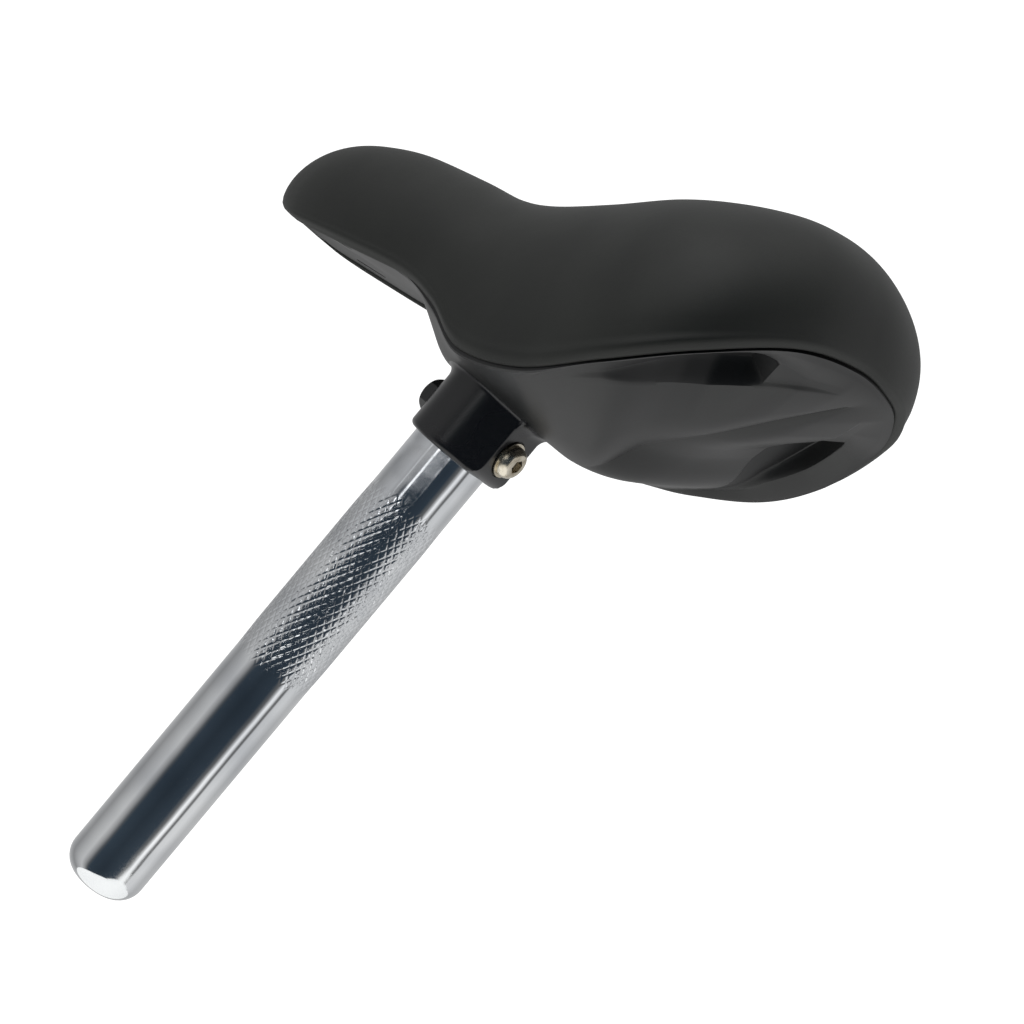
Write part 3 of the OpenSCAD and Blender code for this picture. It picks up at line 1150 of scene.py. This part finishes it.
@dataclass
class SeatPost:
    """The chromed tube: plain, knurled and plain stretches with a spun-in lower end."""

    post: PostFrame
    finish: bpy.types.Material
    radius: float = 12.7 * MM
    wall: float = 1.6 * MM
    top: float = 30 * MM
    low: float = -168 * MM
    end_round: float = 7.5 * MM
    knurl_top: float = -18 * MM
    knurl_low: float = -84 * MM
    knurl_rise: float = 0.2 * MM
    rise_run: float = 12 * MM
    groove_run: float = 6 * MM
    groove_depth: float = 0.32 * MM
    groove_half: float = 0.27 * MM
    starts: int = 34
    helix: float = math.radians(30)
    columns: int = 374
    row_height: float = 0.3696 * MM

    def knurl_radius(self, height: float, angle: float) -> float:
        """Radius of the knurled band, where two families of helical grooves cross.

        Args:
            height: Height in the post's frame.
            angle: Angle round the post.

        Returns:
            The radius.
        """
        inside = min(self.knurl_top - height, height - self.knurl_low)
        rise = self.knurl_rise * ease(inside / self.rise_run)
        depth = self.groove_depth * ease((inside + 0.5 * MM) / self.groove_run)
        arc = self.radius * angle
        pitch = 2 * math.pi * self.radius / self.starts
        cut = 0.0
        for side in (-1, 1):
            place = (arc + side * height * math.tan(self.helix)) / pitch
            groove = round(place)
            off = abs(place - groove) * pitch * math.cos(self.helix)
            # A worn roller presses each groove a little differently along its length
            press = 0.85 + 0.15 * math.sin(5.3 * (groove % self.starts) + side)
            press *= 0.88 + 0.12 * math.sin(height / (0.9 * MM) + 2.1 * groove * side)
            cut = max(cut, press * max(0.0, 1 - off / self.groove_half))
        return self.radius + rise - depth * cut

    def levels(self) -> list[tuple[float, float, bool]]:
        """Heights and radii from the lower end's hole up the outside, then down the inside.

        Returns:
            Height, radius and whether the row lies in the knurled band.
        """
        rows = []
        start = self.low + self.end_round
        for a in range(-90, 1, 9):
            turn = math.radians(a)
            height = start + self.end_round * math.sin(turn)
            rows.append((height, self.radius - self.end_round * (1 - math.cos(turn)), False))
        for share in (0.02, 0.25, 0.5, 0.75, 0.98):
            rows.append((mix(start, self.knurl_low, share), self.radius, False))
        count = int((self.knurl_top - self.knurl_low) / self.row_height)
        rows += [(self.knurl_low + self.row_height * i, self.radius, True) for i in range(count + 1)]
        for height in (self.knurl_top + 0.3 * MM, self.knurl_top / 2, 0.0, self.top - 0.5 * MM):
            rows.append((height, self.radius, False))
        inner = self.radius - self.wall
        inner_round = self.end_round - self.wall
        rows += [(self.top, self.radius - 0.4 * MM, False), (self.top, inner, False)]
        for a in range(0, -91, -15):
            turn = math.radians(a)
            height = start + inner_round * math.sin(turn)
            rows.append((height, inner - inner_round * (1 - math.cos(turn)), False))
        return rows

    def build(self) -> bpy.types.Object:
        """Builds the post and lets it stand for the CAD solid.

        Returns:
            The post.
        """
        matrix = self.post.matrix()
        rows = self.levels()
        points = []
        for height, radius, knurled in rows:
            for i in range(self.columns):
                angle = 2 * math.pi * i / self.columns
                reach = self.knurl_radius(height, angle) if knurled else radius
                points.append(matrix @ Vector((reach * math.cos(angle), reach * math.sin(angle), height)))
        # A row more of faces than rings closes the wall where its inside meets the end's hole
        faces = [tuple(i % len(points) for i in quad) for quad in ring_faces(len(rows) + 1, self.columns)]
        tube = make_object("chromed_post", points, faces)
        soften(tube, 50)
        dress(tube, self.finish)
        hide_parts("seat_post")
        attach(tube, ROOT)
        return tube


# Fasteners


@dataclass
class CrossBolt:
    """Bolt, washer and nut through the collar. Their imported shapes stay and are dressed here."""

    nickel: bpy.types.Material
    black: bpy.types.Material

    def build(self) -> None:
        """Dresses the three fasteners."""
        for node, material in (
            ("clamp_bolt", self.nickel),
            ("bolt_washer", self.nickel),
            ("clamp_nut", self.black),
        ):
            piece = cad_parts[node]
            piece.data.materials.clear()
            piece.data.materials.append(material)


# Studio


@dataclass
class Studio:
    """White studio round the part, with a dark gap behind the camera.

    The bands that a chromed tube shows come from the world's brightness by angle round the
    post's axis, in shares of a turn with the camera at one half. The upper bands, where a bright
    frame stands by the dark gap, take over past upper_span along the axis and past left_span
    round it. They shift round by slant across slant_span, and shift back at slant_end.
    """

    post: PostFrame
    turn_to_rear: float = math.radians(28)
    rise: float = math.radians(3)
    roll: float = math.radians(40)
    distance: float = 600 * MM
    focal_px: float = 2020.0
    frame_px: float = 1024.0
    mouth_px: tuple[float, float] = (449.9, 455.0)
    sensor: float = 36.0
    sky: float = 1.0
    backdrop: float = 1.2
    floor_drop: float = 450 * MM
    floor_r: float = 600 * MM
    floor_sides: int = 96
    lamp_place: Point = (0.1, 0.5, 0.9)
    lamp_aim: Point = (0, 0, 0.04)
    lamp_size: float = 0.9
    lamp_power: float = 3.5
    upper_span: tuple[float, float] = (-0.083, -0.079)
    left_span: tuple[float, float] = (0.59, 0.57)
    slant_span: tuple[float, float] = (-0.068, -0.056)
    slant_end: tuple[float, float] = (-0.050, -0.053)
    slant: float = 0.105
    bands: Ramp = (
        (0.0, 0.57), (0.061, 0.57), (0.181, 0.33), (0.253, 0.48), (0.322, 0.62),
        (0.361, 0.36), (0.389, 0.1), (0.408, 0.055), (0.5, 0.04), (0.606, 0.055),
        (0.639, 0.16), (0.656, 0.6), (0.669, 1.2), (0.683, 1.0), (0.7, 0.2),
        (0.711, 0.17), (0.725, 0.78), (0.769, 0.8), (0.847, 0.56), (1.0, 0.57),
    )
    upper_bands: Ramp = (
        (0.0, 0.57), (0.061, 0.57), (0.181, 0.33), (0.253, 0.48), (0.322, 0.6),
        (0.345, 0.5), (0.353, 1.1), (0.363, 0.42), (0.408, 0.4), (0.414, 3.0),
        (0.422, 3.0), (0.43, 0.07), (0.46, 0.05), (1.0, 0.04),
    )

    def directions(self) -> tuple[Vector, Vector, Vector]:
        """Works out which way the camera is turned.

        Returns:
            Camera right, up and backward directions in the part's frame.
        """
        s, c = math.sin(self.turn_to_rear), math.cos(self.turn_to_rear)
        back = Vector((-s * math.cos(self.rise), c * math.cos(self.rise), math.sin(self.rise)))
        beside = Vector((-c, -s, 0.0))
        above = back.cross(beside)
        right = beside * math.cos(self.roll) + above * math.sin(self.roll)
        up = above * math.cos(self.roll) - beside * math.sin(self.roll)
        turn = self.post.matrix().to_3x3()
        return turn @ right, turn @ up, turn @ back

    def camera(self) -> None:
        """Sets the camera at the photograph's viewing angle."""
        right, up, back = self.directions()
        half = self.frame_px / 2
        across = (self.mouth_px[0] - half) / self.focal_px * self.distance
        down = (self.mouth_px[1] - half) / self.focal_px * self.distance
        place = self.post.mouth() + back * self.distance - right * across + up * down
        data = bpy.data.cameras.new("camera")
        data.sensor_width = self.sensor
        data.lens = self.sensor * self.focal_px / self.frame_px
        data.clip_start, data.clip_end = 0.01, 50.0
        camera = bpy.data.objects.new("camera", data)
        bpy.context.scene.collection.objects.link(camera)
        turn = Matrix((right, up, back)).transposed().to_4x4()
        camera.matrix_world = Matrix.Translation(place) @ turn
        bpy.context.scene.camera = camera

    def world(self) -> None:
        """Gives the world its bands of light and dark round the post's axis."""
        world = bpy.data.worlds.new("studio")
        world.use_nodes = True
        bpy.context.scene.world = world
        tree = world.node_tree
        tree.nodes.clear()
        _, _, back = self.directions()
        axis = (self.post.matrix().to_3x3() @ Vector((0, 0, 1))).normalized()
        facing = (back - axis * back.dot(axis)).normalized()
        ray = add_node(tree, "TexCoord").outputs["Generated"]
        toward, sideways, along = (
            add_node(tree, "VectorMath", {0: ray, 1: way}, operation="DOT_PRODUCT").outputs["Value"]
            for way in (facing, axis.cross(facing), axis)
        )
        angle = add_node(tree, "Math", {0: sideways, 1: toward}, operation="ARCTAN2")
        share = add_node(tree, "MapRange", {"Value": angle, "From Min": -math.pi, "From Max": math.pi})
        bands = add_node(tree, "ValToRGB", {"Fac": share})
        set_ramp(bands, [(stop, self.tinted(value)) for stop, value in self.bands])
        upper, leftward, rising, ending = (
            add_node(tree, "MapRange", {"Value": value, "From Min": low, "From Max": high, "To Max": top})
            for value, (low, high), top in (
                (along, self.upper_span, 1.0),
                (share, self.left_span, 1.0),
                (along, self.slant_span, self.slant),
                (along, self.slant_end, 1.0),
            )
        )
        slant = add_node(tree, "Math", {0: rising, 1: ending}, operation="MULTIPLY")
        place = add_node(tree, "Math", {0: share, 1: slant}, operation="SUBTRACT")
        edge = add_node(tree, "ValToRGB", {"Fac": place})
        set_ramp(edge, [(stop, self.tinted(value)) for stop, value in self.upper_bands])
        gate = add_node(tree, "Math", {0: upper, 1: leftward}, operation="MULTIPLY")
        colour = add_node(tree, "MixRGB", {"Fac": gate, "Color1": bands, "Color2": edge})
        seen = add_node(tree, "LightPath").outputs["Is Camera Ray"]
        light = add_node(tree, "Background", {"Color": colour, "Strength": self.sky})
        plain = add_node(tree, "Background", {"Color": (1.0, 1.0, 1.0, 1.0), "Strength": self.backdrop})
        add_node(tree, "OutputWorld", {"Surface": add_node(tree, "MixShader", {0: seen, 1: light, 2: plain})})

    @staticmethod
    def tinted(value: float) -> Colour:
        """Grey of the given brightness, with the dark gap's faint blue in its deepest shades."""
        share = ease((0.12 - value) / 0.06)
        return value * (1 - 0.3 * share), value, value * (1 + 0.35 * share), 1.0

    def lamp(self) -> None:
        """Adds a soft square lamp over the saddle."""
        data = bpy.data.lights.new("top_softbox", "AREA")
        data.size = self.lamp_size
        data.energy = self.lamp_power
        lamp = bpy.data.objects.new("top_softbox", data)
        bpy.context.scene.collection.objects.link(lamp)
        lamp.location = self.post.mouth() + Vector(self.lamp_place)
        aim = self.post.mouth() + Vector(self.lamp_aim)
        lamp.rotation_euler = (lamp.location - aim).to_track_quat("Z", "Y").to_euler()

    def build(self, sheet: bpy.types.Material) -> None:
        """Builds camera, world, lamp and floor, and shows plain screen colours.

        Args:
            sheet: The floor's finish.
        """
        self.camera()
        self.world()
        self.lamp()
        level = CAD_BOX[0].z - self.floor_drop
        turns = [2 * math.pi * i / self.floor_sides for i in range(self.floor_sides)]
        rim = [(self.floor_r * math.cos(t), self.floor_r * math.sin(t), level) for t in turns]
        floor = make_object("floor", rim, [tuple(range(self.floor_sides))])
        floor.data.materials.append(sheet)
        bpy.context.scene.view_settings.view_transform = "Standard"


def main() -> None:
    """Builds the sub-assemblies in order and reports each one."""
    logging.basicConfig(level=logging.INFO, format="%(message)s")
    post = PostFrame()
    form = SaddleForm(post)
    cover = FoamCover(form, SkinnedFoam().build()).build()
    log.info("cover: %d faces", len(cover.data.polygons))
    satin = MouldedPolypropylene()
    collar = (Shade.COLLAR, Shade.COLLAR_DARK)
    polished = MouldedPolypropylene("polished_polypropylene", *collar, roughness=0.27, ior=1.49)
    base = MouldedBase(form, post, satin.build(), polished.build()).build()
    log.info("base: %d faces", len(base.data.polygons))
    tube = SeatPost(post, ChromePlate(post).build()).build()
    log.info("post: %d faces", len(tube.data.polygons))
    CrossBolt(NickelPlate().build(), BlackOxide().build()).build()
    log.info("fasteners dressed")
    Studio(post).build(BacklitAcrylic().build())


if __name__ == "__main__":
    main()
